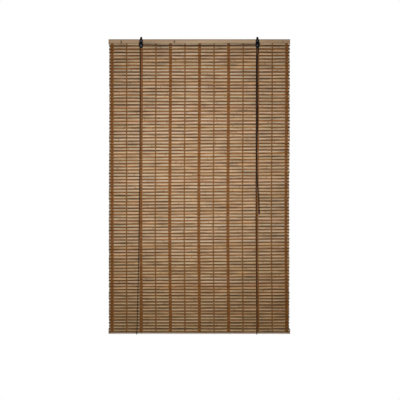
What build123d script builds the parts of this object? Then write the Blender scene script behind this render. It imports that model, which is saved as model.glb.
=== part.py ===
"""Roll-up bamboo shade: woven slats between two laths, with pulley hooks and lift cords.

Lengths are in millimetres. The origin is the middle of the head rail's back face, +Z is up,
and the front of the shade faces -Y. Left and right are as seen from the front.
"""

import os
from math import radians, tan

from build123d import *

# Rails: two flat bamboo laths with rounded edges
rail_length = 1000.0
rail_height = 29.0
head_rail_depth = 12.0
bottom_rail_depth = 8.0
rail_edge_radius = 2.5
head_rail_shown = 21.9  # height of the head rail above the mat
bottom_rail_shown = 8.0  # height of the bottom rail below the mat

# Mat: light slats and recessed dark sticks by turns, packed closer towards the bottom
slat_count = 91
slat_inset = 2.0  # ends of the slats short of the rails' ends
slat_height = 9.2
slat_thickness = 2.6
slat_bevel = 0.7  # height of a light slat's sloping edges
stick_recess = 0.5  # how far a dark stick's faces lie behind a light slat's
first_pitch = 18.2
last_pitch = 16.84
weave_gap = 0.4  # slit between a dark stick and the next light slat
slat_end = 20.0  # length at each end of a slat where the slits stop

# Yarn: loops of wide and thin bands round the mat
wide_band_count = 7
band_margin = 18.0  # middle of the outermost bands from the slats' ends
wide_band_width = 16.0
thin_band_width = 7.0
yarn_thickness = 0.8

# Staples that hold the mat to the rails, driven in from behind and flush with the wood
staple_wire = 1.0
staple_crown = 10.0
staple_bite = 1.8  # how far the legs go into a slat
head_staple_drop = 3.2  # below the top edge of the first slat
staple_band_shares = (0.75, 1.75, 2.75)  # places out from the middle, in band pitches

# Hook plates: sheet metal on the head rail's front, with a tongue curled back over its top
sheet = 1.5
hook_body_width = 20.0
hook_tongue_width = 12.5
hook_tip_radius = 3.5
hook_rise = 12.7  # top of the curl above the head rail
hook_neck_rise = 2.5  # end of the tapering shoulders above the head rail
hook_seat_radius = 3.2
hook_lip = 1.0

# Screws that hold the plates
screw_drop = 8.8  # below the head rail's top
screw_radius = 1.4
screw_hole_radius = 1.6
screw_grip = 8.0  # length in the wood
screw_head_radius = 3.2
screw_head_height = 2.0
screw_slot_width = 0.9
screw_slot_depth = 0.9

# Pulley straps: one folded strip each, with a cheek on both sides of the wheel
strap_gap = 0.4  # rear cheek in front of the yarn
ear_radius = 8.5
joggle_top_drop = 6.2  # start of the joggle below the screw
joggle_height = 4.5
cheek_radius = 11.5
front_cheek_lip = 1.4  # front cheek above the wheel's flange
strap_reach = 15.0  # foot of the strap below the wheel's centre
strap_foot_width = 4.8
joggle_bend_radius = 2.0
foot_bend_radius = 2.5

# Pulley wheels: two grooves on a running bore
wheel_drop = 36.0  # wheel's centre below the head rail's top
wheel_flange_radius = 7.5
wheel_land = 0.7
wheel_side_gap = 0.3
groove_pitch_radius = 5.0
groove_clearance = 0.45
axle_radius = 1.25
axle_running_gap = 0.05
axle_head_radius = 3.0
axle_head_height = 1.1

# Lift cords and the joiner at their pull ends
cord_diameter = 3.5
cord_side_count = 6  # flat sides of the cords' plain tubes
anchor_hole_gap = 0.3
anchor_hole_depth = 14.0
anchor_back = 6.0  # anchor hole in front of the head rail's back
joiner_length = 16.0
joiner_radius = 4.4
joiner_bevel = 0.7
bend_share = 0.45  # of the shorter run beside a bend that its arc takes up

# One length that every through cut runs past its faces
overrun = 1.0

# Heights worked out from the sizes above
rail_top = rail_height / 2
mat_top = rail_top - head_rail_shown
screw_z = rail_top - screw_drop
wheel_z = rail_top - wheel_drop
hook_z = rail_top + hook_rise - sheet - hook_seat_radius
strap_foot = wheel_z - strap_reach
pitch_step = (last_pitch - first_pitch) / (slat_count - 2)
slat_tops = [
    mat_top - i * first_pitch - i * (i - 1) / 2 * pitch_step for i in range(slat_count)
]
last_slat_foot = slat_tops[-1] - slat_height
mat_foot = slat_tops[-1] - last_pitch + weave_gap
bottom_rail_z = mat_foot - bottom_rail_shown + rail_height / 2

# Depths worked out from the sizes above, from the wall towards the front
rail_front = -head_rail_depth
mat_back = rail_front - yarn_thickness
mat_front = mat_back - slat_thickness
yarn_front = mat_front - yarn_thickness
hook_front = rail_front - sheet
hook_y = rail_front + hook_seat_radius
ear_front = hook_front - sheet
strap_back = yarn_front - strap_gap
wheel_back = strap_back - sheet - wheel_side_gap
groove_radius = cord_diameter / 2 + groove_clearance
groove_pitch = 2 * groove_radius + wheel_land
wheel_width = 2 * groove_pitch + wheel_land
front_cheek_back = wheel_back - wheel_width - wheel_side_gap
strap_front = front_cheek_back - sheet

# Places across the shade
slat_length = rail_length - 2 * slat_inset
band_pitch = (slat_length - 2 * band_margin) / (wide_band_count - 1)
hook_x = 2 * band_pitch
sides = {"left": -hook_x, "right": hook_x}
staple_xs = [side * share * band_pitch for share in staple_band_shares for side in (-1, 1)]

# Routes of the cords, chosen by hand: the place that a point is measured from, the point, and the
# arc's radius where the cord goes round a wheel or the bottom rail. Each cord goes from the head
# rail down the back and up the front.
rear_edge_bend = 4.6
front_edge_bend = 7.0
wheel_bend = 4.95
route_places = {
    "left_top": Vector(-hook_x, 0, 0),
    "left_foot": Vector(-hook_x, 0, mat_foot - bottom_rail_shown),
    "middle": Vector(0, 0, 0),
    "right_top": Vector(hook_x, 0, 0),
    "right_foot": Vector(hook_x, 0, mat_foot - bottom_rail_shown),
}
left_route = [
    ("left_top", (0.0, -6.0, -1.0), None),
    ("left_top", (0.0, -6.0, -45.0), None),
    ("left_foot", (-22.0, -1.9, 30.6), None),
    ("left_foot", (-22.0, -1.9, -2.4), rear_edge_bend),
    ("left_foot", (-22.0, -18.0, -2.4), front_edge_bend),
    ("left_foot", (-21.4, -18.0, 48.6), None),
    ("left_foot", (-12.5, -19.8, 423.6), None),
    ("left_top", (-3.2, -23.2, -600.0), None),
    ("left_top", (-2.1, -25.2, -300.0), None),
    ("left_top", (-3.0, -26.4, -100.0), None),
    ("left_top", (-5.1, -26.4, -16.25), wheel_bend),
    ("left_top", (160.0, -26.4, -21.5), None),
    ("middle", (0.0, -26.4, -23.5), None),
    ("right_top", (-160.0, -26.4, -21.5), None),
    ("right_top", (5.1, -26.4, -16.25), wheel_bend),
    ("right_top", (2.4, -26.4, -150.0), None),
    ("right_top", (4.6, -26.8, -310.0), None),
    ("right_top", (5.2, -27.2, -430.0), None),
    ("right_top", (-1.4, -27.2, -600.0), None),
    ("right_top", (-1.8, -27.0, -740.0), None),
    ("right_top", (4.4, -26.6, -840.0), None),
    ("right_top", (7.5, -26.2, -900.0), None),
    ("right_top", (7.5, -26.2, -930.0), None),
]
right_route = [
    ("right_top", (0.0, -6.0, -1.0), None),
    ("right_top", (0.0, -6.0, -45.0), None),
    ("right_foot", (-1.8, -1.9, 30.6), None),
    ("right_foot", (-1.8, -1.9, -2.4), rear_edge_bend),
    ("right_foot", (-1.8, -18.0, -2.4), front_edge_bend),
    ("right_foot", (-1.9, -18.0, 48.6), None),
    ("right_foot", (-4.6, -19.2, 508.6), None),
    ("right_top", (-6.2, -20.2, -640.0), None),
    ("right_top", (-4.9, -21.3, -100.0), None),
    ("right_top", (-5.05, -21.3, -16.5), wheel_bend),
    ("right_top", (5.1, -21.3, -16.45), wheel_bend),
    ("right_top", (2.9, -21.3, -150.0), None),
    ("right_top", (5.4, -21.9, -310.0), None),
    ("right_top", (5.6, -22.6, -430.0), None),
    ("right_top", (-1.4, -23.0, -600.0), None),
    ("right_top", (-1.6, -22.9, -740.0), None),
    ("right_top", (4.6, -22.5, -840.0), None),
    ("right_top", (7.5, -22.3, -900.0), None),
    ("right_top", (7.5, -22.3, -930.0), None),
]


def side_plane(x=0.0):
    """A plane for side views: its x is the part's Y and its y is the part's Z."""
    return Plane.YZ.offset(x)


def strip(low_y, high_y, low_z, high_z):
    """A rectangle in a side view, from its two corners."""
    centre = Pos((low_y + high_y) / 2, (low_z + high_z) / 2)
    return centre * Rectangle(high_y - low_y, high_z - low_z)


def staple(rail_back, rail_depth, x, z):
    """A square wire staple, its crown flush with the back of a rail."""
    leg = rail_depth + yarn_thickness + staple_bite
    outline = Rectangle(staple_crown, leg, align=(Align.CENTER, Align.MAX))
    between_legs = Rectangle(
        staple_crown - 2 * staple_wire, leg - staple_wire, align=(Align.CENTER, Align.MAX)
    )
    outline -= Pos(0, -staple_wire) * between_legs
    wire = extrude(outline, staple_wire / 2, both=True)
    return Pos(x, rail_back, z) * wire


def staple_row(rail_back, rail_depth, z):
    """The staples of one rail, a group of separate solids."""
    return [staple(rail_back, rail_depth, x, z) for x in staple_xs]


def lath(depth, z):
    """A bamboo lath whose front face carries the mat."""
    section = RectangleRounded(depth, rail_height, rail_edge_radius)
    section = Pos(rail_front + depth / 2, z) * section
    return extrude(side_plane() * section, rail_length / 2, both=True)


def head_rail(staples, screws):
    """The upper lath, with the screws' and staples' own holes and a hole for each cord's end."""
    anchor = Cylinder(
        cord_diameter / 2 + anchor_hole_gap,
        anchor_hole_depth + overrun,
        align=(Align.CENTER, Align.CENTER, Align.MAX),
    )
    top = -rail_top + anchor_hole_depth
    anchors = [Pos(x, -anchor_back, top) * anchor for x in sides.values()]
    return lath(head_rail_depth, 0) - [*staples, *screws, *anchors]


def bottom_rail(staples):
    """The lower lath, with the staples' own holes."""
    return lath(bottom_rail_depth, bottom_rail_z) - staples


def mat_face(light_y, dark_y):
    """One face of the mat in a side view: from the top down, each slat is a ridge with bevels."""
    points = []
    for top in slat_tops:
        foot = top - slat_height
        points += [
            (dark_y, top),
            (light_y, top - slat_bevel),
            (light_y, foot + slat_bevel),
            (dark_y, foot),
        ]
    return points + [(dark_y, mat_foot)]


def slat_mat(staples):
    """Slats and sticks as one ridged wall, with a long slit above each light slat but the first."""
    front = mat_face(mat_front, mat_front + stick_recess)
    back = mat_face(mat_back, mat_back - stick_recess)
    section = make_face(Polyline(*front, *reversed(back), close=True))
    wall = extrude(side_plane() * section, slat_length / 2, both=True)
    slit = Box(
        slat_length - 2 * slat_end,
        slat_thickness + 2 * overrun,
        weave_gap,
        align=(Align.CENTER, Align.CENTER, Align.MIN),
    )
    middle_y = (mat_back + mat_front) / 2
    slits = [Pos(0, middle_y, top) * slit for top in slat_tops[1:]]
    return wall - [*slits, *staples]


def yarn_loop(x, width):
    """A band of yarn that goes round the whole mat and lies on the faces of its slats."""
    band = strip(
        yarn_front, rail_front, mat_foot - yarn_thickness, mat_top + yarn_thickness
    )
    band -= strip(mat_front, mat_back, mat_foot, mat_top)
    return extrude(side_plane(x) * band, width / 2, both=True)


def screw():
    """A plain screw with a slotted cylindrical head, its shank below height zero."""
    shank_length = screw_grip + 2 * sheet
    shank = Cylinder(screw_radius, shank_length, align=(Align.CENTER, Align.CENTER, Align.MAX))
    head = Cylinder(
        screw_head_radius, screw_head_height, align=(Align.CENTER, Align.CENTER, Align.MIN)
    )
    slot = Box(
        2 * screw_head_radius + overrun,
        screw_slot_width,
        screw_slot_depth,
        align=(Align.CENTER, Align.CENTER, Align.MAX),
    )
    head -= Pos(0, 0, screw_head_height) * slot
    return head + shank


def hook():
    """A teardrop plate on the rail, with a tongue that curls back into an open seat."""
    seat = Pos(hook_y, hook_z)
    curl = seat * Circle(hook_seat_radius + sheet) - seat * Circle(hook_seat_radius)
    outer = hook_seat_radius + sheet
    curl &= strip(hook_y - outer, hook_y + outer, hook_z, hook_z + outer)
    lip_y = hook_y + hook_seat_radius
    side = curl + strip(hook_front, rail_front, screw_z - hook_body_width / 2, hook_z)
    side += strip(lip_y, lip_y + sheet, hook_z - hook_lip, hook_z)
    body = Pos(0, screw_z) * Circle(hook_body_width / 2)
    neck_z = rail_top + hook_neck_rise
    neck = Line((-hook_tongue_width / 2, neck_z), (hook_tongue_width / 2, neck_z))
    outline = make_hull(body.edges() + neck.edges())
    tip_z = rail_top + hook_rise
    tongue = RectangleRounded(hook_tongue_width, tip_z - screw_z, hook_tip_radius)
    outline += Pos(0, (tip_z + screw_z) / 2) * tongue
    outline -= Pos(0, screw_z) * Circle(screw_hole_radius)
    plate = extrude(side_plane() * side, hook_body_width / 2, both=True)
    return plate & extrude(Plane.XZ * outline, head_rail_depth + 2 * sheet)


def pulley_strap():
    """A strip folded round the wheel: ear under the screw, joggle, rear cheek, foot, front cheek."""
    ear_y = hook_front - sheet / 2
    rear_y = strap_back - sheet / 2
    front_y = front_cheek_back - sheet / 2
    joggle_top = screw_z - joggle_top_drop
    path = FilletPolyline(
        (ear_y, screw_z + ear_radius),
        (ear_y, joggle_top),
        (rear_y, joggle_top - joggle_height),
        (rear_y, strap_foot + sheet / 2),
        (front_y, strap_foot + sheet / 2),
        (front_y, wheel_z + wheel_flange_radius + front_cheek_lip),
        radius=[joggle_bend_radius, joggle_bend_radius, foot_bend_radius, foot_bend_radius],
    )
    folded = extrude(side_plane() * trace(path, sheet), cheek_radius, both=True)
    ear = Pos(0, screw_z) * Circle(ear_radius)
    cheek = Pos(0, wheel_z) * Circle(cheek_radius)
    foot = Line((-strap_foot_width / 2, strap_foot), (strap_foot_width / 2, strap_foot))
    rear = make_hull(ear.edges() + cheek.edges() + foot.edges())
    rear -= Pos(0, screw_z) * Circle(screw_hole_radius)
    front = make_hull(cheek.edges() + foot.edges())
    blank = extrude(Plane.XZ * rear, -front_cheek_back)
    blank += extrude(Plane.XZ.offset(-front_cheek_back) * front, sheet + overrun)
    axle_hole = Plane.XZ * Pos(0, wheel_z) * Circle(axle_radius)
    blank -= extrude(axle_hole, overrun - strap_front)
    strap = folded & blank
    cord_way = Box(
        2 * cheek_radius,
        wheel_width + 2 * wheel_side_gap,
        strap_reach + overrun,
        align=(Align.MIN, Align.CENTER, Align.MAX),
    )
    for turn in (0, 180):
        beside_foot = Rot(Z=turn) * Pos(strap_foot_width / 2, 0, 0)
        middle_y = (strap_back - sheet + front_cheek_back) / 2
        strap -= Pos(0, middle_y, wheel_z) * beside_foot * cord_way
    return strap


def pulley_wheel():
    """A moulded wheel with a flat-bottomed groove for each cord, its back face at height zero."""
    bore = axle_radius + axle_running_gap
    section = Rectangle(wheel_flange_radius - bore, wheel_width, align=Align.MIN)
    section = Pos(bore, 0) * section
    groove = Rectangle(wheel_flange_radius, 2 * groove_radius, align=Align.MIN)
    for i in range(2):
        section -= Pos(groove_pitch_radius - groove_radius, wheel_land + i * groove_pitch) * groove
    return revolve(Plane.XZ * section, Axis.Z)


def axle():
    """A rivet from the rear cheek's back, flush there, to a flat head on the front cheek."""
    length = strap_back - strap_front
    shank = Cylinder(axle_radius, length, align=(Align.CENTER, Align.CENTER, Align.MIN))
    head = Cylinder(
        axle_head_radius, axle_head_height, align=(Align.CENTER, Align.CENTER, Align.MIN)
    )
    return shank + Pos(0, 0, length) * head


def route_point(entry):
    """The place of one entry of a cord's route."""
    place, offset, _ = entry
    return route_places[place] + Vector(*offset)


def cord(name, route):
    """A plain tube of a few flat sides along a route of straight runs joined by tangent arcs."""
    points = [route_point(entry) for entry in route]
    radii = []
    for before, here, after, entry in zip(points, points[1:], points[2:], route[1:]):
        run_in, run_out = here - before, after - here
        turn = radians(run_in.get_angle(run_out))
        widest = bend_share * min(run_in.length, run_out.length) / tan(turn / 2)
        radii.append(entry[-1] or widest)
    path = FilletPolyline(*points, radius=radii)
    start = Plane(origin=path @ 0, z_dir=path % 0)
    section = RegularPolygon(cord_diameter / 2, cord_side_count)
    tube = sweep(start * section, path=path)
    expected = section.area * path.length
    print(f"{name}: {path.length:.0f} mm long, volume {tube.volume / expected:.4f} of the expected")
    print("  radii", [round(radius, 1) for radius in radii])
    return tube


def cord_joiner():
    """A barrel under the ends of the two pull cords."""
    ends = [route_point(route[-1]) for route in (left_route, right_route)]
    barrel = Cylinder(joiner_radius, joiner_length, align=(Align.CENTER, Align.CENTER, Align.MAX))
    barrel = chamfer(barrel.edges().filter_by(GeomType.CIRCLE), joiner_bevel)
    return Pos((ends[0] + ends[1]) / 2) * barrel


def build_nodes():
    """Every piece of the shade by its name."""
    facing_front = Rot(X=90)
    screws = {
        side: Pos(x, ear_front, screw_z) * facing_front * screw() for side, x in sides.items()
    }
    head_staples = staple_row(0, head_rail_depth, mat_top - head_staple_drop)
    bottom_back = rail_front + bottom_rail_depth
    bottom_staples = staple_row(bottom_back, bottom_rail_depth, last_slat_foot + slat_height / 2)
    nodes = {
        "head_rail": head_rail(head_staples, screws.values()),
        "bottom_rail": bottom_rail(bottom_staples),
        "slat_mat": slat_mat(head_staples + bottom_staples),
        "head_staples": Compound(head_staples),
        "bottom_staples": Compound(bottom_staples),
    }
    for i in range(wide_band_count):
        x = (i - (wide_band_count - 1) / 2) * band_pitch
        nodes[f"wide_yarn_{i + 1}"] = yarn_loop(x, wide_band_width)
    for i in range(wide_band_count - 1):
        x = (i - (wide_band_count - 2) / 2) * band_pitch
        nodes[f"thin_yarn_{i + 1}"] = yarn_loop(x, thin_band_width)
    for side, x in sides.items():
        nodes[f"{side}_hook"] = Pos(x, 0, 0) * hook()
        nodes[f"{side}_pulley_strap"] = Pos(x, 0, 0) * pulley_strap()
        nodes[f"{side}_wheel"] = Pos(x, wheel_back, wheel_z) * facing_front * pulley_wheel()
        nodes[f"{side}_axle"] = Pos(x, strap_back, wheel_z) * facing_front * axle()
        nodes[f"{side}_screw"] = screws[side]
    nodes["left_cord"] = cord("left_cord", left_route)
    nodes["right_cord"] = cord("right_cord", right_route)
    nodes["cord_joiner"] = cord_joiner()
    return nodes


os.makedirs("parts", exist_ok=True)
for node, shape in build_nodes().items():
    export_step(shape, f"parts/{node}.step")
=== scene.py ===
# %% [markdown]
# # A roll-up bamboo shade
#
# The shade is a mat of split bamboo, woven with brown yarn and hung from a lath. Two metal hooks
# carry the lath, and two cords over pulley wheels roll the mat up from below. The solids arrive
# in metres with +Z up and the front towards -Y, and nothing here moves or resizes them: this
# lesson weaves the mat, lays the cords and gives every piece its finish.

# %% Load the solids
import math
import random

import bpy
import numpy as np
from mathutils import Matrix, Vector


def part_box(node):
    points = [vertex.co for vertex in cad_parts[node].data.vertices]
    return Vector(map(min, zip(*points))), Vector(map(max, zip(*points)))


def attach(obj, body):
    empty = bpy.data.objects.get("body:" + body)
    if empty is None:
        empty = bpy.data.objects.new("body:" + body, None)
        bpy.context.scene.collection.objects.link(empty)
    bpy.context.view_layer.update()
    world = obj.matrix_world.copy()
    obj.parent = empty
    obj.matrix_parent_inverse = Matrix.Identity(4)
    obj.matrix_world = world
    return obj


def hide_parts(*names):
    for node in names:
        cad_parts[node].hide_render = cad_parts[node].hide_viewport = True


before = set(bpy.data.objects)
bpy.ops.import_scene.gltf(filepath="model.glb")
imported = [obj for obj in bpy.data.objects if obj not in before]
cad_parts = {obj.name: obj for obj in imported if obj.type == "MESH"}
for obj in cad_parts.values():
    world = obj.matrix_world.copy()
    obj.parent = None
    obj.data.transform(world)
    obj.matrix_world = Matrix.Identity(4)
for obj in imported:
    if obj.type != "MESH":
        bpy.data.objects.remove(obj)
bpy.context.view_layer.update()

# %% [markdown]
# ## The camera
#
# The shade is seen straight on from so far away that its edges stay parallel. A long lens does
# that. One pixel of the 400-pixel picture is 5.513 mm on the shade, which sets the width of the
# view, and the middle of the picture falls at a height of -0.871 m, a little right of the middle.

# %% Place the camera
MM = 0.001
picture_pixels = 400
pixel_size = 5.513 * MM
view_width = picture_pixels * pixel_size
view_middle = (3.9 * MM, -0.871)
camera_distance = 12.0
scene = bpy.context.scene
camera_data = bpy.data.cameras.new("camera")
camera_data.lens = camera_data.sensor_width * camera_distance / view_width
camera = bpy.data.objects.new("camera", camera_data)
camera.location = (view_middle[0], -camera_distance, view_middle[1])
camera.rotation_euler = (math.radians(90), 0, 0)
scene.collection.objects.link(camera)
scene.camera = camera
print(f"lens {camera_data.lens:.0f} mm, view {view_width:.3f} m wide")

# %% [markdown]
# ## Shader sums written as Python sums
#
# A finish is a network of nodes. Placing them one by one hides the idea, so one small class wraps
# an output socket: adding or multiplying two such signals adds a Math node, and plain numbers can
# stand on either side. A second class makes any other node with one method, for a material or for
# the world, and a third one adds the material and its shader.


# %% A signal that can be used in sums
class Signal:
    """An output socket of a network. Each sum of signals adds a Math node."""

    def __init__(self, network, socket):
        self.network = network
        self.socket = socket

    def math(self, operation, first, second=0.0):
        """A Math node in this signal's network."""
        return self.network.node("ShaderNodeMath", {"operation": operation}, {0: first, 1: second})

    def __add__(self, other):
        return self.math("ADD", self, other)

    def __sub__(self, other):
        return self.math("SUBTRACT", self, other)

    def __mul__(self, other):
        return self.math("MULTIPLY", self, other)

    def __truediv__(self, other):
        return self.math("DIVIDE", self, other)

    def __rsub__(self, other):
        return self.math("SUBTRACT", other, self)

    def __rtruediv__(self, other):
        return self.math("DIVIDE", other, self)

    __radd__ = __add__
    __rmul__ = __mul__


# %% A network and its one node maker
class Network:
    """A tree of nodes, of a material or of the world."""

    def __init__(self, tree):
        self.tree = tree

    def feed(self, socket, value):
        """Links a signal to a socket, or sets a plain value on it."""
        if isinstance(value, Signal):
            self.tree.links.new(value.socket, socket)
        else:
            socket.default_value = value

    def node(self, kind, settings, sockets, output=0):
        """A new node: its settings first, then its sockets, and one of its outputs."""
        node = self.tree.nodes.new(kind)
        for name, value in settings.items():
            setattr(node, name, value)
        for name, value in sockets.items():
            self.feed(node.inputs[name], value)
        return Signal(self, node.outputs[output])


# %% A finish is a network that ends in a shader
class Finish(Network):
    """A material, its nodes and its Principled shader."""

    def __init__(self, name):
        self.material = bpy.data.materials.new(name)
        self.material.use_nodes = True
        super().__init__(self.material.node_tree)
        self.shader = self.tree.nodes["Principled BSDF"]

    def surface(self, sockets):
        """Feeds the shader and hands out the material."""
        for name, value in sockets.items():
            self.feed(self.shader.inputs[name], value)
        print("finish:", self.material.name, "nodes:", len(self.tree.nodes))
        return self.material


# %% [markdown]
# Nearly every finish here needs the same few things: the place on the piece, a stretched noise, a
# soft mask between two values, a mix of two colours and a bump. Each is a short function over the
# node maker. Colours are written as screen values from 0 to 255 and turned into linear light.


# %% Small helpers over the node maker
def screen(red, green, blue):
    """A linear colour from screen values."""
    linear = [((c / 255 + 0.055) / 1.055) ** 2.4 for c in (red, green, blue)]
    return (*linear, 1.0)


def place(finish):
    """The place on a piece, in metres."""
    return finish.node("ShaderNodeTexCoord", {}, {}, "Object")


def axis(finish, vector, name):
    """One coordinate of a vector."""
    return finish.node("ShaderNodeSeparateXYZ", {}, {"Vector": vector}, name)


def attribute(finish, name, output):
    """A value that is stored on the piece's points."""
    return finish.node("ShaderNodeAttribute", {"attribute_name": name}, {}, output)


def noise(finish, vector, scale, detail=2.0):
    """A noise with so many cells for each metre along x, y and z."""
    where = finish.node("ShaderNodeVectorMath", {"operation": "MULTIPLY"}, {0: vector, 1: scale})
    return finish.node("ShaderNodeTexNoise", {}, {"Vector": where, "Scale": 1.0, "Detail": detail})


def fade(finish, value, start, end, low=0.0, high=1.0):
    """A smooth change from low to high as a value goes from start to end."""
    sockets = {"Value": value, "From Min": start, "From Max": end, "To Min": low, "To Max": high}
    return finish.node("ShaderNodeMapRange", {"interpolation_type": "SMOOTHSTEP"}, sockets)


def mix(finish, share, first, second, blend="MIX"):
    """A share of the second colour over the first."""
    # For colours the node takes its factor at 0 and the colours at 6 and 7, and gives the result at 2.
    settings = {"data_type": "RGBA", "blend_type": blend}
    return finish.node("ShaderNodeMix", settings, {0: share, 6: first, 7: second}, 2)


def times(finish, first, second):
    """The product of two colours."""
    return mix(finish, 1.0, first, second, "MULTIPLY")


def bump(finish, height, depth):
    """A bent normal from a height, where a height of 1 stands for a depth in metres."""
    return finish.node("ShaderNodeBump", {}, {"Height": height, "Distance": depth, "Strength": 1.0})


# %% [markdown]
# ## The lift cords
#
# Each cord is tied in the head rail, goes down behind the mat, under the bottom rail and up the
# front to a pulley wheel. The left one crosses to the right wheel, and both pull ends hang there.
# A cord is one smooth curve, so its route is the control polygon of a quadratic NURBS spline. The
# spline touches the middle of every side of that polygon: two points at each bend, like corners of
# an octagon round the wheel, hold it at the groove, and a point some 20 mm off keeps its run tight.

# %% The routes, in millimetres
left_route = [
    (-320.0, -6.0, -1.0),
    (-320.0, -6.0, -45.0),
    (-342.0, -1.9, -1578.0),
    (-342.0, -1.9, -1590.0),
    (-343.5, -1.9, -1608.3),
    (-344.5, -4.6, -1611.0),
    (-345.5, -13.9, -1611.0),
    (-345.5, -18.0, -1606.9),
    (-343.0, -18.0, -1590.0),
    (-341.6, -18.0, -1560.0),
    (-332.8, -19.8, -1185.0),
    (-325.4, -23.2, -600.0),
    (-324.3, -25.2, -300.0),
    (-323.6, -26.4, -100.0),
    (-324.6, -26.4, -40.0),
    (-325.0, -26.4, -19.43),
    (-322.07, -26.4, -16.5),
    (-301.0, -26.4, -16.6),
    (-160.0, -26.4, -20.4),
    (0.0, -26.4, -23.2),
    (160.0, -26.4, -20.4),
    (301.0, -26.4, -16.6),
    (322.07, -26.4, -16.5),
    (325.0, -26.4, -19.43),
    (324.2, -26.4, -40.0),
    (318.0, -26.5, -90.0),
    (316.4, -26.8, -200.0),
    (317.4, -27.4, -310.0),
    (318.2, -28.2, -430.0),
    (313.4, -28.7, -560.0),
    (312.6, -28.7, -700.0),
    (318.6, -28.0, -790.0),
    (325.6, -26.9, -850.0),
    (327.5, -26.2, -900.0),
    (327.5, -26.2, -930.0),
]
right_route = [
    (320.0, -6.0, -1.0),
    (320.0, -6.0, -45.0),
    (318.2, -1.9, -1578.0),
    (318.2, -1.9, -1590.0),
    (317.2, -1.9, -1608.3),
    (316.6, -4.6, -1611.0),
    (315.6, -13.9, -1611.0),
    (315.6, -18.0, -1606.9),
    (316.6, -18.0, -1590.0),
    (317.4, -18.0, -1560.0),
    (313.0, -19.2, -1100.0),
    (311.8, -20.2, -640.0),
    (312.4, -21.3, -100.0),
    (314.8, -21.3, -40.0),
    (315.0, -21.3, -19.43),
    (317.93, -21.3, -16.5),
    (322.07, -21.3, -16.5),
    (325.0, -21.3, -19.43),
    (324.0, -21.3, -40.0),
    (317.8, -21.5, -90.0),
    (316.2, -22.1, -200.0),
    (318.6, -23.2, -310.0),
    (319.6, -24.2, -430.0),
    (314.4, -24.8, -560.0),
    (313.2, -24.8, -700.0),
    (319.2, -24.0, -790.0),
    (325.8, -22.8, -850.0),
    (327.5, -22.3, -900.0),
    (327.5, -22.3, -930.0),
]


# %% Lay a smooth line along a route
def smooth_line(route):
    """Points along the NURBS spline of a route, in metres."""
    curve = bpy.data.curves.new("route", "CURVE")
    curve.dimensions = "3D"
    spline = curve.splines.new("NURBS")
    spline.points.add(len(route) - 1)
    for point, corner in zip(spline.points, route):
        point.co = (*(MM * c for c in corner), 1.0)
    spline.order_u = 3
    spline.use_endpoint_u = True
    holder = bpy.data.objects.new("route", curve)
    line = bpy.data.meshes.new_from_object(holder)
    points = np.array([vertex.co for vertex in line.vertices])
    bpy.data.objects.remove(holder)
    bpy.data.meshes.remove(line)
    return points


# %% [markdown]
# The braid itself is far finer than a pixel, so the cord is a round tube with a map along and
# around it, and the finish draws the crossing threads on that map. The tube's rings are carried
# along the line without twisting, which keeps the threads straight round the wheels.


# %% Carry directions along a line
def turned_frames(points):
    """Two directions across a line at each of its points, carried along without twist."""
    along = np.gradient(points, axis=0)
    along /= np.linalg.norm(along, axis=1)[:, None]
    side = np.cross(along[0], (0.0, 1.0, 0.0))
    sides = []
    for direction in along:
        side = side - direction * np.dot(side, direction)
        side /= np.linalg.norm(side)
        sides.append(side)
    sides = np.array(sides)
    return sides, np.cross(along, sides)


# %% Make a mesh of rings
def new_piece(name, points, faces):
    """A smooth mesh object in the scene."""
    mesh = bpy.data.meshes.new(name)
    mesh.from_pydata(points.tolist(), [], faces)
    mesh.polygons.foreach_set("use_smooth", [True] * len(mesh.polygons))
    piece = bpy.data.objects.new(name, mesh)
    scene.collection.objects.link(piece)
    return piece


def ring_faces(rings, sides, first=0):
    """Quads between rings of points, and a cap at both ends, from a first point's number."""
    number = first + np.arange(rings * sides).reshape(rings, sides)
    turned = np.roll(number, -1, axis=1)
    quads = np.stack([number[:-1], turned[:-1], turned[1:], number[1:]], axis=-1)
    caps = [number[0, ::-1].tolist(), number[-1].tolist()]
    return quads.reshape(-1, 4).tolist() + caps


# %% Make a tube along a line
def tube(name, points, radius, sides):
    """A round tube with a map of turns around it and metres along it."""
    first, second = turned_frames(points)
    angles = np.linspace(0, 2 * math.pi, sides, endpoint=False)[None, :, None]
    spokes = np.cos(angles) * first[:, None] + np.sin(angles) * second[:, None]
    rings = points[:, None] + radius * spokes
    piece = new_piece(name, rings.reshape(-1, 3), ring_faces(len(points), sides))
    steps = np.linalg.norm(np.diff(points, axis=0), axis=1)
    run = np.concatenate([[0.0], np.cumsum(steps)])
    metres, turns = np.meshgrid(run, np.arange(sides) / sides, indexing="ij")
    near, far = metres[:-1], metres[1:]
    left = turns[:-1]
    right = left + 1 / sides
    corners = [(left, near), (right, near), (right, far), (left, far)]
    quads = np.stack([np.stack(corner, axis=-1) for corner in corners], axis=2).reshape(-1)
    caps = np.zeros(4 * sides)  # two caps, with two values at each corner
    layer = piece.data.uv_layers.new(name="braid")
    layer.uv.foreach_set("vector", np.concatenate([quads, caps]))
    return piece, run[-1]


# %% [markdown]
# The cord's finish is two sets of threads that wind around it in opposite ways. Their product is
# a diamond pattern: high where a thread lies on top. It lifts the bump and lightens the colour a
# little, as worn threads do, on a nearly black brown.

# %% Braided cord finish
thread_count = 5  # in each of the two sets
thread_pitch = 6 * MM  # from one thread of a set to the next, along the cord


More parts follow.
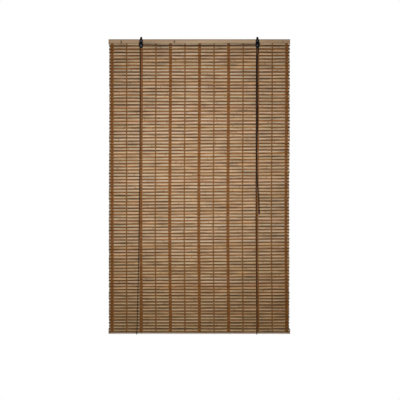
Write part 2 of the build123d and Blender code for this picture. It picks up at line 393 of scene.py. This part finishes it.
def braid_finish():
    """Two sets of crossing threads on a cord's map."""
    finish = Finish("braided_cord")
    uv = finish.node("ShaderNodeUVMap", {"uv_map": "braid"}, {})
    around = (thread_count * 2 * math.pi) * axis(finish, uv, "X")
    along = (2 * math.pi / thread_pitch) * axis(finish, uv, "Y")
    one_way = around.math("SINE", around + along)
    other_way = around.math("SINE", around - along)
    diamonds = one_way * other_way
    wear_and_painted_light = noise(finish, place(finish), scale=(40.0, 40.0, 40.0))
    share = fade(finish, diamonds + wear_and_painted_light, start=0.0, end=1.6)
    colour = mix(finish, share, screen(18, 11, 8), screen(50, 33, 23))
    normal = bump(finish, diamonds, depth=0.2 * MM)
    return finish.surface({"Base Color": colour, "Roughness": 0.75, "Normal": normal})


# %% Make the two cords
cord_diameter = 3.5 * MM
cord_sides = 10
cord_finish = braid_finish()
for side, route in (("left", left_route), ("right", right_route)):
    line = smooth_line(route)
    cord, length = tube(f"{side}_lift_cord", line, cord_diameter / 2, cord_sides)
    cord.data.materials.append(cord_finish)
    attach(cord, "shade")
    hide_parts(f"{side}_cord")
    print(f"{side} cord: {length:.3f} m in {len(line)} steps")

# %% [markdown]
# ## Rows of bamboo
#
# The mat is 91 light slats with a dark stick under each. Real split bamboo is never straight, so a
# row isn't a box: every seam between two rows is a slightly wavy line, and a slat fills the space
# between its two seams. Neighbours then share the same wave and never cut each other.

# %% Seams between the rows
mat_low, mat_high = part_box("slat_mat")
mat_middle_y = (mat_low.y + mat_high.y) / 2
slat_count = 91
first_pitch = 18.2 * MM
last_pitch = 16.84 * MM
slat_height = 9.2 * MM
pitch_step = (last_pitch - first_pitch) / (slat_count - 2)
counts = np.arange(slat_count)
slat_tops = mat_high.z - counts * first_pitch - counts * (counts - 1) / 2 * pitch_step
seams = np.stack([slat_tops, slat_tops - slat_height], axis=1).reshape(-1)
seams = np.append(seams, mat_low.z)
print(f"{len(seams)} seams from {seams[0]:.4f} to {seams[-1]:.4f} m")

# %% A little wave for each seam
chance = random.Random(91)
wave_lengths = (0.93, 0.41, 0.17)
wave_heights = (0.16 * MM, 0.12 * MM, 0.05 * MM)
least_wave_share = 0.4  # of a wave's full height


def wave():
    """A gentle wave along x, as a function."""
    phases = [chance.uniform(0, 2 * math.pi) for _ in wave_lengths]
    sizes = [height * chance.uniform(least_wave_share, 1.0) for height in wave_heights]

    def height_at(x):
        terms = zip(wave_lengths, phases, sizes)
        return sum(size * np.sin(2 * math.pi * x / length + phase) for length, phase, size in terms)

    return height_at


seam_waves = [wave() for _ in seams]
print(f"{len(seam_waves)} waves, none over {sum(wave_heights) / MM:.2f} mm")

# %% [markdown]
# An old mat also slumps. Its rows have slipped down the yarn by a few millimetres, most of all
# along the left side below the first quarter, and the bottom rail holds the last ones straight.
# The first rows hang a little low too. Sideways, the rows lie a millimetre to the right at the top
# and a little more than that to the left in the lower half. Moving row by row would take a table of
# 182 places, so a few smooth steps down the mat give each slip instead.

# %% How far the rows have slipped, in millimetres and in shares of the way down
upper_sag = 1.8
upper_sag_span = (0.20, 0.35)
lower_sag = 2.1
lower_sag_span = (0.55, 0.75)
sag_end_span = (0.90, 1.0)
left_drop = 6.0  # left end of a row below its right end
left_drop_span = (0.15, 0.35)
left_drop_end_span = (0.72, 0.93)
first_rows_sag = 0.8
first_rows_drop = 1.4
first_rows_span = (0.03, 0.12)
slide_at_top = 1.0
slide_change = 2.2
slide_span = (0.28, 0.52)


def smooth_step(value, start, end):
    """A smooth change from 0 to 1 as a value goes from start to end."""
    share = np.clip((value - start) / (end - start), 0.0, 1.0)
    return share * share * (3 - 2 * share)


def share_down(z):
    """How far down the mat a height lies, from 0 at its top to 1 at its foot."""
    return (mat_high.z - z) / (mat_high.z - mat_low.z)


def slump(x, z):
    """How far below its straight place a point of a seam lies."""
    down = share_down(z)
    sag = upper_sag * smooth_step(down, *upper_sag_span)
    sag = sag + lower_sag * smooth_step(down, *lower_sag_span)
    sag = sag - (upper_sag + lower_sag) * smooth_step(down, *sag_end_span)
    dropped = smooth_step(down, *left_drop_span) - smooth_step(down, *left_drop_end_span)
    first_rows = 1 - smooth_step(down, *first_rows_span)
    sag = sag + first_rows_sag * first_rows
    drop = left_drop * dropped + first_rows_drop * first_rows
    return MM * (sag - drop * x / (mat_high.x - mat_low.x))


def sideways(z):
    """How far to the right of its straight place a row lies."""
    return MM * (slide_at_top - slide_change * smooth_step(share_down(z), *slide_span))


half_way = (mat_low.z + mat_high.z) / 2
for end, x in (("left", mat_low.x), ("right", mat_high.x)):
    print(f"slump half way down, {end} end: {slump(x, half_way):.4f} m")

# %% [markdown]
# A slat's section is flat with soft edges and faces that swell a little, as split bamboo has after
# planing. It is drawn once in shares of the half thickness and half height. Along the slat, rings
# of that section stand at even steps, with three more at each bamboo knot, where the wood swells.

# %% Sections of a slat and a stick
slat_section = np.array([
    (-0.50, -1.00), (-0.86, -0.93), (-0.96, -0.72), (-1.00, 0.00),
    (-0.96, 0.72), (-0.86, 0.93), (-0.50, 1.00),
    (0.50, 1.00), (0.86, 0.93), (0.96, 0.72), (1.00, 0.00),
    (0.96, -0.72), (0.86, -0.93), (0.50, -1.00),
])
stick_section = np.array([
    (-0.45, -1.00), (-0.80, -0.84), (-0.98, -0.42), (-0.98, 0.42), (-0.80, 0.84), (-0.45, 1.00),
    (0.45, 1.00), (0.80, 0.84), (0.98, 0.42), (0.98, -0.42), (0.80, -0.84), (0.45, -1.00),
])
print(f"a slat has {len(slat_section)} corners, a stick {len(stick_section)}")

# %% Place the knots of a bar
knot_spacings = (0.26, 0.40)
first_knot_margin = 0.02
last_knot_margin = 0.01


def knots_of(half_length):
    """Places of a bar's bamboo knots: evenly spaced, from a random start."""
    spacing = chance.uniform(*knot_spacings)
    start = -half_length + chance.uniform(first_knot_margin, spacing)
    return np.arange(start, half_length - last_knot_margin, spacing)


# %% Make one bar between two seams
ring_spacing = 0.032
ring_digits = 5  # rings are placed to a hundredth of a millimetre
end_margin = 1.0 * MM  # no ring of a knot is nearer to a bar's end
knot_half_width = 4.0 * MM
knot_swell = 0.10
bulge_share = 0.03  # slow change of a bar's thickness along it
bulge_rates = (9.0, 17.0)  # in radians for each metre


def bar(upper, half_length, half_thickness, section, tuck):
    """Rings of points of the bar under a seam, and its knots. It reaches over both seams by a tuck."""
    lower = upper + 1
    slip = sideways(seams[upper])
    knots = knots_of(half_length) + slip
    steps = np.arange(-half_length, half_length, ring_spacing) + slip
    near_knots = (knots[:, None] + np.array([-1.0, 0.0, 1.0]) * knot_half_width).reshape(-1)
    inside = near_knots[np.abs(near_knots - slip) < half_length - end_margin]
    x = np.concatenate([steps, inside, [half_length + slip]])
    x = np.unique(np.round(x, ring_digits))
    top = seams[upper] - slump(x, seams[upper]) + seam_waves[upper](x) + tuck
    foot = seams[lower] - slump(x, seams[lower]) + seam_waves[lower](x) - tuck
    distance = np.abs(x[:, None] - knots[None, :]).min(axis=1)
    swell = 1 + knot_swell * (distance < knot_half_width / 2)
    bulge = 1 + bulge_share * np.sin(x * chance.uniform(*bulge_rates) + upper)
    depth = half_thickness * swell * bulge
    y = mat_middle_y + depth[:, None] * section[None, :, 0]
    z = (top + foot)[:, None] / 2 + (top - foot)[:, None] / 2 * section[None, :, 1]
    rings = np.stack([np.broadcast_to(x[:, None], y.shape), y, z], axis=-1)
    return rings, knots


# %% [markdown]
# Every slat and stick has its own stain. A material for each would take 182 of them, so the stain
# is worked out here, stored on the bar's points as a colour, and read by the finish. So are the
# places of its knots: the distance to the nearest one can't be stored on rings 32 mm apart, so each
# bar carries the spacing and start of its knots. Towards the foot the stain turns warmer and darker,
# and the first rows are darker as well.

# %% Choose a stain
warm_change = (0.02, -0.05, -0.20)  # of red, green and blue in the warmest rows


def blended(palette, spread, warmth, depth):
    """A stain between two of a palette's colours, a little lighter or darker, or warmer."""
    first, second = chance.sample(palette, 2)
    share = chance.random() ** 2 / 2
    tone = chance.uniform(1 - spread, 1 + spread) * (1 - depth)
    tint = [1 + change * warmth for change in warm_change]
    parts = zip(tint, first, second)
    return [tone * t * ((1 - share) * a + share * b) for t, a, b in parts] + [1.0]


# %% Weave rows into one mesh
warm_span = (0.55, 0.95)  # shares of the rows from the top
dark_first_span = (0.01, 0.06)
dark_first_share = 0.8  # of the deepening that the last rows get


def paint(mesh, name, kind, values):
    """Stores one value for each point of a mesh."""
    layer = mesh.attributes.new(name, kind, "POINT")
    layer.data.foreach_set("color" if kind == "FLOAT_COLOR" else "value", np.ravel(values))


def triangle_count(piece):
    """How many triangles a piece's mesh has."""
    piece.data.calc_loop_triangles()
    return len(piece.data.loop_triangles)


def row_piece(name, rows, half_thickness, section, palette, spread, deepening, trim, tuck):
    """One mesh of bars: for each row, between two seams, with uneven ends."""
    points, faces, stains, starts, spacings = [], [], [], [], []
    total = 0
    for upper in rows:
        half_length = mat_high.x - chance.uniform(0, trim)
        rings, knots = bar(upper, half_length, half_thickness, section, tuck)
        faces += ring_faces(len(rings), len(section), total)
        size = rings.shape[0] * rings.shape[1]
        total += size
        points.append(rings.reshape(-1, 3))
        down = upper / (2 * slat_count)
        warmth = smooth_step(down, *warm_span)
        first_rows = 1 - smooth_step(down, *dark_first_span)
        depth = deepening * max(warmth, dark_first_share * first_rows)
        stains.append(np.tile(blended(palette, spread, warmth, depth), (size, 1)))
        starts.append(np.full(size, knots[0]))
        spacings.append(np.full(size, knots[1] - knots[0]))
    piece = new_piece(name, np.concatenate(points), faces)
    paint(piece.data, "stain", "FLOAT_COLOR", np.concatenate(stains))
    paint(piece.data, "knot_start", "FLOAT", np.concatenate(starts))
    paint(piece.data, "knot_spacing", "FLOAT", np.concatenate(spacings))
    print(f"{name}: {len(rows)} bars, {triangle_count(piece)} triangles")
    return piece


# %% [markdown]
# The bamboo finish starts from the slat's stain. A photograph of wood would repeat from slat to
# slat, so noises draw the wood instead, all of them stretched along it. A slow one, some 90 mm long
# and 8 mm high, makes the stain lighter and darker, and another turns it from warm to grey. A fast
# one draws the fibres, and a finer one their dark bundles. Knots are brown lines that wander a
# little, in a faint halo. A slat's cut ends are painted paler, painted light where shade falls on
# them, and a stick's ends are darker.

# %% Lines at the knots
knot_line_wander = 5.0 * MM


def knot_lines(finish, where, width):
    """A mask of the bamboo knots: a fine line that wanders a little, in a faint halo."""
    wander = noise(finish, where, scale=(40.0, 420.0, 420.0)) - 0.5
    x = axis(finish, where, "X") + knot_line_wander * wander
    start = attribute(finish, "knot_start", "Fac")
    spacing = attribute(finish, "knot_spacing", "Fac")
    turns = (x - start) / spacing + 0.5
    off = turns.math("ABSOLUTE", turns.math("FRACT", turns) - 0.5) * spacing
    line = fade(finish, off, start=0.2 * width, end=0.5 * width, low=1.0, high=0.0)
    halo = fade(finish, off, start=0.4 * width, end=2.0 * width, low=0.5, high=0.0)
    return turns.math("MAXIMUM", line, halo)


# %% Bamboo finish
knot_line_width = 2.0 * MM
knot_line_share = 0.7
streak_share = 0.35
end_fade_start = 17 * MM  # from the mat's side
end_fade_end = 9 * MM


def bamboo_finish(name, tones, tints, knot_colour, end_tone_and_painted_light):
    """A stained bamboo: the stain times a tone from dark to light, times a tint from warm to grey."""
    finish = Finish(name)
    where = place(finish)
    stain = attribute(finish, "stain", "Color")
    slow = noise(finish, where, scale=(11.0, 20.0, 130.0), detail=3.0)
    hue = noise(finish, where, scale=(7.0, 30.0, 130.0))
    fibres = noise(finish, where, scale=(14.0, 900.0, 900.0), detail=3.0)
    bundles = noise(finish, where, scale=(22.0, 2400.0, 2400.0))
    tone = mix(finish, fade(finish, 0.75 * slow + 0.25 * fibres, start=0.32, end=0.68), *tones)
    tint = mix(finish, fade(finish, hue, start=0.35, end=0.65), *tints)
    colour = times(finish, times(finish, stain, tone), tint)
    streaks = fade(finish, bundles, start=0.54, end=0.70)
    half_dark = mix(finish, 0.5, colour, knot_colour)
    colour = mix(finish, streak_share * streaks, colour, half_dark)
    line = knot_lines(finish, where, knot_line_width)
    colour = mix(finish, knot_line_share * line, colour, knot_colour)
    x = axis(finish, where, "X")
    # Near the mat's sides a slat is painted paler, painted light against the shade on its ends, and a
    # stick is made darker.
    at_end = fade(
        finish,
        x.math("ABSOLUTE", x),
        start=mat_high.x - end_fade_start,
        end=mat_high.x - end_fade_end,
    )
    colour = mix(finish, at_end, colour, times(finish, colour, end_tone_and_painted_light))
    rough = fade(finish, fibres, start=0.3, end=0.7, low=0.52, high=0.72)
    normal = bump(finish, fibres + 0.5 * streaks + 1.5 * line, depth=0.25 * MM)
    return finish.surface({
        "Base Color": colour,
        "Roughness": rough,
        "Specular IOR Level": 0.25,
        "Normal": normal,
    })


# %% Weave the light slats
light_palette = [
    screen(188, 163, 132),
    screen(190, 161, 133),
    screen(184, 161, 127),
    screen(192, 168, 139),
    screen(186, 158, 124),
    screen(188, 163, 130),
]
slat_half_thickness = (mat_high.y - mat_low.y) / 2
slat_depth_share = 0.9  # leaves room for the knots' swelling
slat_half_depth = slat_depth_share * slat_half_thickness
light_slats = row_piece(
    "light_slats",
    range(0, 2 * slat_count, 2),
    slat_half_depth,
    slat_section,
    light_palette,
    spread=0.03,
    deepening=0.05,
    trim=3.5 * MM,
    tuck=0.0,
)
slat_tones = ((0.70, 0.67, 0.63, 1.0), (1.18, 1.19, 1.20, 1.0))
slat_tints = ((1.04, 0.97, 0.89, 1.0), (0.97, 1.02, 1.08, 1.0))
slat_knots = screen(96, 66, 42)
# Painted light: the light slats' ends are made paler against the shade that falls there.
slat_end_painted_light = (1.40, 1.40, 1.40, 1.0)
slat_finish = bamboo_finish("light_bamboo", slat_tones, slat_tints, slat_knots, slat_end_painted_light)
light_slats.data.materials.append(slat_finish)

# %% Weave the dark sticks
dark_palette = [
    screen(121, 81, 40),
    screen(122, 79, 39),
    screen(117, 81, 41),
    screen(107, 70, 35),
    screen(133, 90, 45),
    screen(120, 82, 43),
]
stick_recess = 0.5 * MM
stick_half_depth = slat_half_thickness - stick_recess
dark_sticks = row_piece(
    "dark_sticks",
    range(1, 2 * slat_count, 2),
    stick_half_depth,
    stick_section,
    dark_palette,
    spread=0.10,
    deepening=0.27,
    trim=2.5 * MM,
    tuck=0.1 * MM,
)
stick_tones = ((0.50, 0.46, 0.43, 1.0), (1.52, 1.52, 1.52, 1.0))
stick_tints = ((1.06, 0.97, 0.87, 1.0), (0.96, 1.01, 1.07, 1.0))
stick_knots = screen(42, 27, 17)
stick_ends = (0.56, 0.54, 0.50, 1.0)
stick_finish = bamboo_finish("dark_bamboo", stick_tones, stick_tints, stick_knots, stick_ends)
dark_sticks.data.materials.append(stick_finish)

# %% Both kinds of row stand for the mat
for rows in (light_slats, dark_sticks):
    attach(rows, "shade")
    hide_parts("slat_mat")

# %% [markdown]
# ## Bands of yarn
#
# The rows are held by twined yarn: pairs of strands, one in front of a row and one behind it, that
# change places between rows. Seen from the front, a pair is a column of short slanted stitches. A
# strand is a half turn of a flat helix per row, so one loop over the rows makes the whole strand.
# A ribbon with stitches drawn on it would look flat from the side, so the strands are meshes.
# The bands aren't quite straight: all but the leftmost swing out to the left below the middle.

# %% How a band bows sideways
bow_at_top = 1.4  # millimetres to the right, as the two swings are
swing_left = -4.2
swing_left_span = (0.08, 0.60)  # shares of the way down
swing_right = 3.9
swing_right_span = (0.66, 0.98)
bow_start = -0.48  # where across the mat the bow begins
bow_full = -0.20


def bow(x, z):
    """How far to the right of a straight line a band of yarn lies."""
    down = share_down(z)
    swing = bow_at_top + swing_left * smooth_step(down, *swing_left_span)
    swing = swing + swing_right * smooth_step(down, *swing_right_span)
    return MM * swing * smooth_step(x, bow_start, bow_full)


# %% The path of one strand
strand_sides = 6
strand_half_thickness = 0.36 * MM
bridged_depth = (slat_half_depth + stick_half_depth) / 2  # a strand half bridges a dark row
row_half_depths = np.where(np.arange(2 * slat_count) % 2 == 0, slat_half_depth, bridged_depth)
stitch_hold = 0.30  # where a strand leaves a row's face, as a share of its height from its middle
crossing_width = 0.85  # a strand's width between rows, as a share of its width on a row


def strand_rings(x, half_width, slant, front_first):
    """Rings of one flat strand down the whole mat."""
    centres, widths = [], []
    ways = (-1, 1) if front_first else (1, -1)
    levels = seams - slump(x, seams)
    middles = (levels[:-1] + levels[1:]) / 2
    heights = levels[:-1] - levels[1:]
    for row, (middle, height, depth) in enumerate(zip(middles, heights, row_half_depths)):
        way = ways[row % 2]
        lean = slant if way == ways[0] else -slant
        out = way * (depth + strand_half_thickness)
        centres.append((x + lean, 0.0, middle + height / 2))
        centres.append((x + lean * stitch_hold, out, middle + stitch_hold * height))
        centres.append((x - lean * stitch_hold, out, middle - stitch_hold * height))
        widths += [crossing_width, 1.0, 1.0]
    centres.append((x - lean, 0.0, levels[-1]))
    widths.append(crossing_width)
    centres = np.array(centres) + (0.0, mat_middle_y, 0.0)
    centres[:, 0] += bow(x, centres[:, 2])
    run = np.gradient(centres, axis=0)
    thick = np.stack([np.zeros(len(run)), -run[:, 2], run[:, 1]], axis=1)
    thick /= np.linalg.norm(thick, axis=1)[:, None]
    angles = np.linspace(0, 2 * math.pi, strand_sides, endpoint=False)
    across = np.array(widths)[:, None, None] * np.array([half_width, 0, 0])
    wide = np.cos(angles)[None, :, None] * across
    deep = np.sin(angles)[None, :, None] * strand_half_thickness * thick[:, None]
    return centres[:, None] + wide + deep


# %% [markdown]
# Yarn is twisted fibre, matt and fuzzy. Its finish has fine slanting plies across each strand and a
# soft mottle of two browns. It hardly shines, or the brown would turn grey under the lamp.

# %% Yarn finish
ply_pitch = 1.1 * MM
ply_slant = 0.8


def yarn_finish(name, deep, bright):
    """Twisted yarn between two browns."""
    finish = Finish(name)
    where = place(finish)
    x, z = axis(finish, where, "X"), axis(finish, where, "Z")
    plies = x.math("SINE", (x + ply_slant * z) * (2 * math.pi / ply_pitch))
    mottle = noise(finish, where, scale=(300.0, 300.0, 90.0), detail=3.0)
    share = fade(finish, mottle + 0.18 * plies, start=0.25, end=0.80)
    colour = mix(finish, share, deep, bright)
    normal = bump(finish, plies + mottle, depth=0.12 * MM)
    return finish.surface({
        "Base Color": colour,
        "Roughness": 0.95,
        "Specular IOR Level": 0.1,
        "Normal": normal,
    })


# %% Twine the bands
wide_band_count = 7
wide_band_pairs = 4
thin_band_pairs = 2
strand_half_share = 0.52  # half a strand's width, in widths of a pair
strand_slant_share = 0.14  # how far a stitch leans to either side, in widths of a pair
wide_yarn = yarn_finish("wide_band_yarn", screen(109, 61, 19), screen(147, 91, 36))
thin_yarn = yarn_finish("thin_band_yarn", screen(111, 68, 27), screen(149, 100, 49))
bands = [(f"wide_yarn_{i + 1}", wide_band_pairs, wide_yarn) for i in range(wide_band_count)]
bands += [(f"thin_yarn_{i + 1}", thin_band_pairs, thin_yarn) for i in range(wide_band_count - 1)]
for node, pairs, finish in bands:
    low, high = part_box(node)
    pair_width = (high.x - low.x) / pairs
    half_width = strand_half_share * pair_width
    slant = strand_slant_share * pair_width
    points, faces = [], []
    for pair in range(pairs):
        x = low.x + (pair + 0.5) * pair_width
        for front_first in (True, False):
            rings = strand_rings(x, half_width, slant, front_first)
            faces += ring_faces(*rings.shape[:2], sum(len(p) for p in points))
            points.append(rings.reshape(-1, 3))
    band = new_piece(f"{node}_strands", np.concatenate(points), faces)
    band.data.materials.append(finish)
    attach(band, "shade")
    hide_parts(node)
print(f"{len(bands)} bands, the last with {triangle_count(band)} triangles")

# %% [markdown]
# ## The laths
#
# Both rails are bamboo laths planed flat. Their solids already have the right form, so they keep it
# and only get a finish: long grain, a slow drift of tone, a darker upper edge and darker ends, and
# the rings of bamboo knots. The bottom rail's lower edge is painted pale, painted light against the
# shade that the mat casts on it.

# %% Lath finish
lath_knot_colour = screen(92, 60, 34)
lath_knot_wander = 3 * MM
upper_edge_share = 0.35
upper_edge_wander = 6 * MM


def lath_finish(name, tones, wear_and_painted_light, low, high, knots):
    """A lath's wood between its lowest and highest corners, with a lower edge painted pale against the
    mat's shade if tones for that are given.
    """
    dark, light, edge = tones
    finish = Finish(name)
    where = place(finish)
    x, z = axis(finish, where, "X"), axis(finish, where, "Z")
    grain = noise(finish, where, scale=(9.0, 420.0, 420.0), detail=4.0)
    drift = noise(finish, where, scale=(5.0, 30.0, 45.0))
    share = fade(finish, 0.5 * grain + 0.5 * drift, start=0.34, end=0.66)
    colour = mix(finish, share, dark, light)
    # The lower edge is painted paler: painted light against the shade of the mat above and in front of
    # it.
    if wear_and_painted_light:
        painted_light_at_foot = fade(finish, z - low.z, start=8 * MM, end=15 * MM, low=1.0, high=0.0)
        colour = mix(finish, painted_light_at_foot, colour, mix(finish, share, *wear_and_painted_light))
    height = z - (low.z + high.z) / 2 + upper_edge_wander * drift
    below_edge = fade(finish, height, start=8 * MM, end=14 * MM, low=1.0, high=0.0)
    rings = []
    for knot, width, weight in knots:
        off = x.math("ABSOLUTE", x - knot + lath_knot_wander * drift)
        rings.append(fade(finish, off, start=0.3 * width, end=width, low=weight, high=0.0))
    ring = sum(rings[1:], rings[0]) * below_edge
    from_middle = x.math("ABSOLUTE", x)
    at_end = fade(finish, from_middle, start=high.x - 9 * MM, end=high.x, low=0.0, high=0.8)
    edges = x.math("MAXIMUM", upper_edge_share * (1.0 - below_edge), at_end)
    colour = mix(finish, edges, colour, edge)
    colour = mix(finish, ring, colour, lath_knot_colour)
    rough = fade(finish, grain, start=0.3, end=0.7, low=0.42, high=0.62)
    normal = bump(finish, grain + 0.6 * ring, depth=0.2 * MM)
    return finish.surface({"Base Color": colour, "Roughness": rough, "Normal": normal})


# %% Dress the laths
# A knot is its place along the rail, its half width and its weight.
head_knots = [(-0.428, 6.0 * MM, 0.9), (-0.136, 6.0 * MM, 0.9), (0.461, 5.0 * MM, 0.4)]
foot_knots = [(-0.315, 4.0 * MM, 0.4), (0.082, 4.0 * MM, 0.4), (0.402, 4.0 * MM, 0.3)]
lath_tones = (screen(157, 126, 94), screen(185, 155, 121), screen(142, 107, 72))
# Pale tones for the bottom rail's lower edge: painted light against the mat's shade.
foot_painted_light_tones = (screen(196, 180, 160), screen(226, 214, 198))
rails = (("head_rail", None, head_knots), ("bottom_rail", foot_painted_light_tones, foot_knots))


def dress(node, material):
    """Gives a solid its finish."""
    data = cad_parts[node].data
    data.materials.clear()
    data.materials.append(material)


for node, wear_and_painted_light, knots in rails:
    dress(node, lath_finish(f"{node}_lath", lath_tones, wear_and_painted_light, *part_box(node), knots))

# %% [markdown]
# ## Metal and moulded pieces
#
# Hooks and straps are bent steel under black enamel, which is never quite smooth. The wheels and
# the cords' joiner are moulded plastic with a fine speckle, the screws and rivets dull zinc, and
# the staples bare wire. All keep their solids, so one finish for each material is enough.


# %% Finishes of the small pieces
def enamel_finish():
    """Black enamel, rubbed in places."""
    finish = Finish("black_enamel")
    where = place(finish)
    peel = noise(finish, where, scale=(500.0, 500.0, 500.0))
    rubbed = noise(finish, where, scale=(120.0, 120.0, 120.0), detail=4.0)
    share = fade(finish, rubbed, start=0.55, end=0.8)
    colour = mix(finish, share, screen(9, 10, 12), screen(24, 25, 29))
    rough = fade(finish, rubbed, start=0.3, end=0.7, low=0.50, high=0.66)
    normal = bump(finish, peel, depth=0.05 * MM)
    return finish.surface({
        "Base Color": colour,
        "Roughness": rough,
        "Specular IOR Level": 0.12,
        "Normal": normal,
    })


def zinc_finish(name, dark, bright):
    """Dull metal with a fine spangle."""
    finish = Finish(name)
    spangle = noise(finish, place(finish), scale=(900.0, 900.0, 900.0), detail=3.0)
    colour = mix(finish, fade(finish, spangle, start=0.35, end=0.65), dark, bright)
    rough = fade(finish, spangle, start=0.3, end=0.7, low=0.32, high=0.5)
    normal = bump(finish, spangle, depth=0.03 * MM)
    return finish.surface({
        "Base Color": colour,
        "Roughness": rough,
        "Metallic": 1.0,
        "Normal": normal,
    })


def moulded_finish(name, dark, light):
    """Moulded plastic with a fine speckle."""
    finish = Finish(name)
    speckle = noise(finish, place(finish), scale=(700.0, 700.0, 700.0), detail=3.0)
    colour = mix(finish, fade(finish, speckle, start=0.3, end=0.7), dark, light)
    rough = fade(finish, speckle, start=0.3, end=0.7, low=0.4, high=0.6)
    normal = bump(finish, speckle, depth=0.04 * MM)
    return finish.surface({"Base Color": colour, "Roughness": rough, "Normal": normal})


# %% Dress the small pieces
enamel = enamel_finish()
zinc = zinc_finish("dull_zinc", screen(66, 68, 78), screen(104, 108, 118))
wire = zinc_finish("staple_wire", screen(76, 76, 80), screen(112, 112, 116))
black_plastic = moulded_finish("black_plastic", screen(22, 22, 23), screen(40, 40, 41))
brown_plastic = moulded_finish("brown_plastic", screen(40, 28, 20), screen(68, 49, 35))
for side in ("left", "right"):
    dress(f"{side}_hook", enamel)
    dress(f"{side}_pulley_strap", enamel)
    dress(f"{side}_wheel", black_plastic)
    dress(f"{side}_axle", zinc)
    dress(f"{side}_screw", zinc)
dress("head_staples", wire)
dress("bottom_staples", wire)
dress("cord_joiner", brown_plastic)

# %% [markdown]
# ## Light and floor
#
# The mat is brightest near its middle and darker at its sides and foot. A tall, narrow lamp little
# more than a metre in front does exactly that, because light thins with distance and angle, and
# more so across the lamp than along it. A lamp behind keeps the back readable, and two weak ones
# do so for the edges. The world is white to the eye but gives little light, so the falloff stays.


# %% Lamps
def soft_lamp(name, place_at, turn, width, height, power):
    """A flat lamp that the camera doesn't see."""
    lamp = bpy.data.lights.new(name, "AREA")
    lamp.shape = "RECTANGLE"
    lamp.size = width
    lamp.size_y = height
    lamp.energy = power
    holder = bpy.data.objects.new(name, lamp)
    holder.location = place_at
    holder.rotation_euler = turn
    holder.visible_camera = False
    scene.collection.objects.link(holder)
    print(f"{name}: {power:.1f} W")


facing_wall = (math.radians(90), 0, 0)
facing_out = (math.radians(-90), 0, 0)
facing_left = (math.radians(90), 0, math.radians(90))
facing_right = (math.radians(90), 0, math.radians(-90))
front_place = (-0.05, -1.22, -0.62)
back_place = (0.2, 2.4, -0.6)
right_place = (2.4, 0.3, -0.6)
left_place = (-2.4, 0.3, -0.6)
soft_lamp("front_lamp", front_place, facing_wall, width=0.3, height=1.25, power=17.7)
soft_lamp("back_lamp", back_place, facing_out, width=1.2, height=1.2, power=40.0)
soft_lamp("right_lamp", right_place, facing_left, width=0.4, height=1.2, power=9.0)
soft_lamp("left_lamp", left_place, facing_right, width=0.4, height=1.2, power=9.0)

# %% A world that looks white and gives little light
world_light = 0.10
world = bpy.data.worlds.new("white_room")
world.use_nodes = True
scene.world = world
room = Network(world.node_tree)
white = room.tree.nodes["Background"]
room.feed(white.inputs["Color"], (1.0, 1.0, 1.0, 1.0))
dim = room.node("ShaderNodeBackground", {}, {"Strength": world_light})
seen = room.node("ShaderNodeLightPath", {}, {}, "Is Camera Ray")
shown = {0: seen, 1: dim, 2: Signal(room, white.outputs[0])}
choose = room.node("ShaderNodeMixShader", {}, shown)
room.feed(room.tree.nodes["World Output"].inputs["Surface"], choose)
scene.view_settings.view_transform = "Standard"
print(f"world light {world_light:.2f}")

# %% Floor
floor_z = -2.2
floor_half = 2.2
floor_tones = ((0.80, 0.80, 0.79, 1.0), (0.86, 0.86, 0.85, 1.0))
floor_finish = Finish("pale_floor")
cloud = noise(floor_finish, place(floor_finish), scale=(1.5, 1.5, 1.5))
floor_colour = mix(floor_finish, cloud, *floor_tones)
floor_finish.surface({"Base Color": floor_colour, "Roughness": 0.8})
corners = np.array([(-1, -1, 0), (1, -1, 0), (1, 1, 0), (-1, 1, 0)]) * floor_half
floor = new_piece("floor", corners + (0, 0, floor_z), [[0, 1, 2, 3]])
floor.data.materials.append(floor_finish.material)
print(f"floor {2 * floor_half:.1f} m wide at {floor_z:.1f} m")
